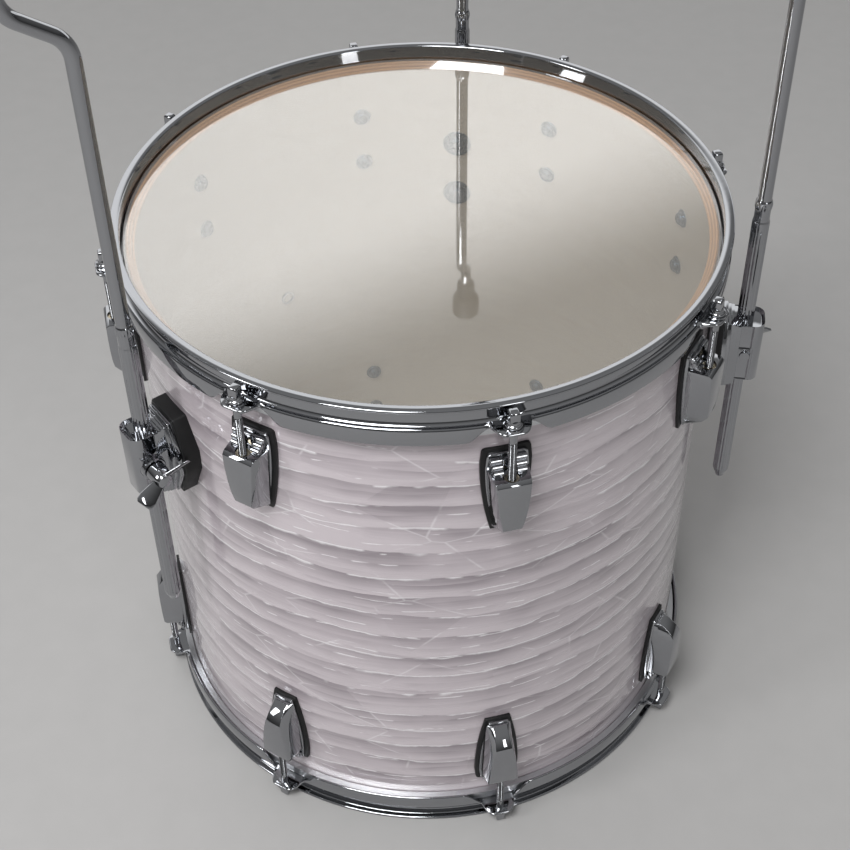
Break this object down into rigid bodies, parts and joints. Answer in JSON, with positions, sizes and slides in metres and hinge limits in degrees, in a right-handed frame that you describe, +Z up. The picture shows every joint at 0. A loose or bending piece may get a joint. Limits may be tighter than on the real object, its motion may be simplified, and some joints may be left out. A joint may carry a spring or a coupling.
{
  "type": "floor tom",
  "caption": "Cylindrical floor tom standing inverted on its batter hoop: pearl-wrapped shell, clear upper head, chromed hoops, lugs, tension rods and clamped legs that slide.",
  "frame": {"origin": "centre of the batter hoop's rim, on the floor plane", "axes": "+Z up along the drum's axis, towards the feet of the legs; +X towards leg 1"},
  "size_m": [0.4873, 0.4873, 0.7254],
  "materials": {
    "maple": "clear lacquered maple ply",
    "pearl_wrap": "gloss oyster-pearl sheet",
    "clear_film": "clear polyester film",
    "coated_film": "white coated polyester film",
    "aluminium": "plain extruded",
    "chrome": "polished chrome",
    "zinc": "zinc-plated",
    "brass": "plain turned",
    "rubber": "matt black"
  },
  "bodies": {
    "drum": {"shell": "maple", "shell_wrap": "pearl_wrap", "vent_grommet": "chrome", "batter_head_film": "coated_film", "resonant_head_film": "clear_film", "batter_flesh_hoop": "aluminium", "resonant_flesh_hoop": "aluminium", "batter_hoop": "chrome", "resonant_hoop": "chrome", "batter_lug_1": "chrome", "batter_lug_2": "chrome", "batter_lug_3": "chrome", "batter_lug_4": "chrome", "batter_lug_5": "chrome", "batter_lug_6": "chrome", "batter_lug_7": "chrome", "batter_lug_8": "chrome", "resonant_lug_1": "chrome", "resonant_lug_2": "chrome", "resonant_lug_3": "chrome", "resonant_lug_4": "chrome", "resonant_lug_5": "chrome", "resonant_lug_6": "chrome", "resonant_lug_7": "chrome", "resonant_lug_8": "chrome", "lug_gaskets": "rubber", "swivel_nuts": "brass", "shell_screws": "zinc", "screw_washers": "zinc", "rod_washers": "zinc", "leg_bracket_1": "chrome", "leg_bracket_2": "chrome", "leg_bracket_3": "chrome", "bracket_gaskets": "rubber", "clamp_pads": "zinc"},
    "leg_1_set": {"leg_1": "chrome", "leg_foot_1": "rubber"},
    "leg_2_set": {"leg_2": "chrome", "leg_foot_2": "rubber"},
    "leg_3_set": {"leg_3": "chrome", "leg_foot_3": "rubber"},
    "wing_bolt_1_head": {"wing_bolt_1": "chrome"},
    "wing_bolt_2_head": {"wing_bolt_2": "chrome"},
    "wing_bolt_3_head": {"wing_bolt_3": "chrome"},
    "batter_rod_1_spin": {"batter_rod_1": "chrome"},
    "batter_rod_2_spin": {"batter_rod_2": "chrome"},
    "batter_rod_3_spin": {"batter_rod_3": "chrome"},
    "batter_rod_4_spin": {"batter_rod_4": "chrome"},
    "batter_rod_5_spin": {"batter_rod_5": "chrome"},
    "batter_rod_6_spin": {"batter_rod_6": "chrome"},
    "batter_rod_7_spin": {"batter_rod_7": "chrome"},
    "batter_rod_8_spin": {"batter_rod_8": "chrome"},
    "resonant_rod_1_spin": {"resonant_rod_1": "chrome"},
    "resonant_rod_2_spin": {"resonant_rod_2": "chrome"},
    "resonant_rod_3_spin": {"resonant_rod_3": "chrome"},
    "resonant_rod_4_spin": {"resonant_rod_4": "chrome"},
    "resonant_rod_5_spin": {"resonant_rod_5": "chrome"},
    "resonant_rod_6_spin": {"resonant_rod_6": "chrome"},
    "resonant_rod_7_spin": {"resonant_rod_7": "chrome"},
    "resonant_rod_8_spin": {"resonant_rod_8": "chrome"}
  },
  "joints": [
    {"name": "leg_1_slide", "type": "slide", "parent": "drum", "child": "leg_1_set", "axis": [0, 0, 1], "range_m": [-0.09, 0.1]},
    {"name": "leg_2_slide", "type": "slide", "parent": "drum", "child": "leg_2_set", "axis": [0, 0, 1], "range_m": [-0.076, 0.114]},
    {"name": "leg_3_slide", "type": "slide", "parent": "drum", "child": "leg_3_set", "axis": [0, 0, 1], "range_m": [-0.09, 0.1]},
    {"name": "wing_bolt_1_turn", "type": "hinge", "parent": "drum", "child": "wing_bolt_1_head", "pos_m": [0.2303, 0, 0.32], "axis": [0, 1, 0], "continuous": true},
    {"name": "wing_bolt_2_turn", "type": "hinge", "parent": "drum", "child": "wing_bolt_2_head", "pos_m": [-0.16285, -0.16285, 0.32], "axis": [0.7071, -0.7071, 0], "continuous": true},
    {"name": "wing_bolt_3_turn", "type": "hinge", "parent": "drum", "child": "wing_bolt_3_head", "pos_m": [0, 0.2303, 0.32], "axis": [-1, 0, 0], "continuous": true},
    {"name": "batter_rod_1_turn", "type": "hinge", "parent": "drum", "child": "batter_rod_1_spin", "pos_m": [0.20002, 0.08285, 0.03], "axis": [0, 0, 1], "continuous": true},
    {"name": "batter_rod_2_turn", "type": "hinge", "parent": "drum", "child": "batter_rod_2_spin", "pos_m": [0.08285, 0.20002, 0.03], "axis": [0, 0, 1], "continuous": true},
    {"name": "batter_rod_3_turn", "type": "hinge", "parent": "drum", "child": "batter_rod_3_spin", "pos_m": [-0.08285, 0.20002, 0.03], "axis": [0, 0, 1], "continuous": true},
    {"name": "batter_rod_4_turn", "type": "hinge", "parent": "drum", "child": "batter_rod_4_spin", "pos_m": [-0.20002, 0.08285, 0.03], "axis": [0, 0, 1], "continuous": true},
    {"name": "batter_rod_5_turn", "type": "hinge", "parent": "drum", "child": "batter_rod_5_spin", "pos_m": [-0.20002, -0.08285, 0.03], "axis": [0, 0, 1], "continuous": true},
    {"name": "batter_rod_6_turn", "type": "hinge", "parent": "drum", "child": "batter_rod_6_spin", "pos_m": [-0.08285, -0.20002, 0.03], "axis": [0, 0, 1], "continuous": true},
    {"name": "batter_rod_7_turn", "type": "hinge", "parent": "drum", "child": "batter_rod_7_spin", "pos_m": [0.08285, -0.20002, 0.03], "axis": [0, 0, 1], "continuous": true},
    {"name": "batter_rod_8_turn", "type": "hinge", "parent": "drum", "child": "batter_rod_8_spin", "pos_m": [0.20002, -0.08285, 0.03], "axis": [0, 0, 1], "continuous": true},
    {"name": "resonant_rod_1_turn", "type": "hinge", "parent": "drum", "child": "resonant_rod_1_spin", "pos_m": [0.20002, 0.08285, 0.3984], "axis": [0, 0, 1], "continuous": true},
    {"name": "resonant_rod_2_turn", "type": "hinge", "parent": "drum", "child": "resonant_rod_2_spin", "pos_m": [0.08285, 0.20002, 0.3984], "axis": [0, 0, 1], "continuous": true},
    {"name": "resonant_rod_3_turn", "type": "hinge", "parent": "drum", "child": "resonant_rod_3_spin", "pos_m": [-0.08285, 0.20002, 0.3984], "axis": [0, 0, 1], "continuous": true},
    {"name": "resonant_rod_4_turn", "type": "hinge", "parent": "drum", "child": "resonant_rod_4_spin", "pos_m": [-0.20002, 0.08285, 0.3984], "axis": [0, 0, 1], "continuous": true},
    {"name": "resonant_rod_5_turn", "type": "hinge", "parent": "drum", "child": "resonant_rod_5_spin", "pos_m": [-0.20002, -0.08285, 0.3984], "axis": [0, 0, 1], "continuous": true},
    {"name": "resonant_rod_6_turn", "type": "hinge", "parent": "drum", "child": "resonant_rod_6_spin", "pos_m": [-0.08285, -0.20002, 0.3984], "axis": [0, 0, 1], "continuous": true},
    {"name": "resonant_rod_7_turn", "type": "hinge", "parent": "drum", "child": "resonant_rod_7_spin", "pos_m": [0.08285, -0.20002, 0.3984], "axis": [0, 0, 1], "continuous": true},
    {"name": "resonant_rod_8_turn", "type": "hinge", "parent": "drum", "child": "resonant_rod_8_spin", "pos_m": [0.20002, -0.08285, 0.3984], "axis": [0, 0, 1], "continuous": true}
  ]
}
